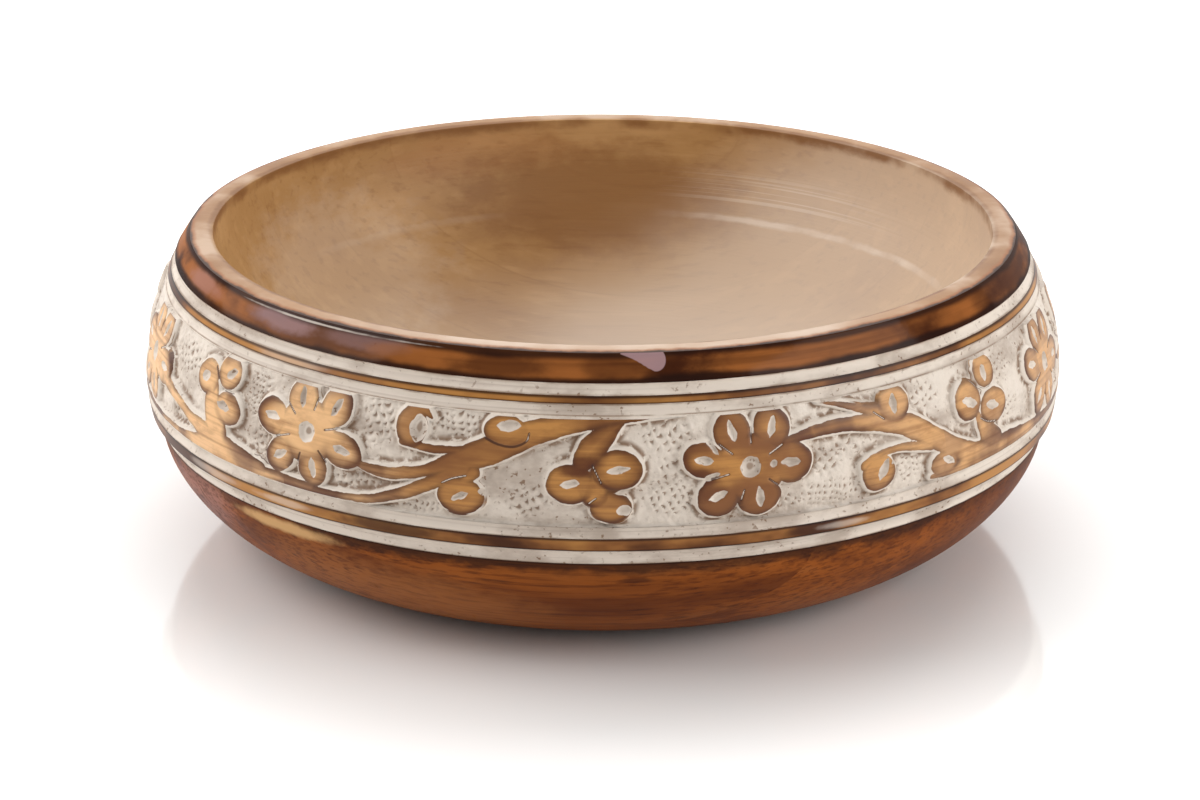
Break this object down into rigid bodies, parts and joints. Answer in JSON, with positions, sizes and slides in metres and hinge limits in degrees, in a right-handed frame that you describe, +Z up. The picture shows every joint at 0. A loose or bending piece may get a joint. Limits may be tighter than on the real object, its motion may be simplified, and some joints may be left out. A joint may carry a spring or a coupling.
{
  "type": "wooden serving bowl",
  "caption": "Round turned serving bowl of glued boards with a rolled-in rim, turned bands and a relief-carved frieze of flowers on a vine.",
  "frame": {"origin": "middle of the flat foot, on the surface that the bowl stands on", "axes": "+Z up along the turning axis, -Y towards the side seen in front, +X to the right of that side"},
  "size_m": [0.3039, 0.304, 0.1026],
  "materials": {
    "carved_wood": "satin lacquer over scorched, stained and lime-washed wood"
  },
  "bodies": {
    "root": {"board_01": "carved_wood", "board_02": "carved_wood", "board_03": "carved_wood", "board_04": "carved_wood", "board_05": "carved_wood", "board_06": "carved_wood", "board_07": "carved_wood", "board_08": "carved_wood", "board_09": "carved_wood", "board_10": "carved_wood", "board_11": "carved_wood"}
  },
  "joints": []
}
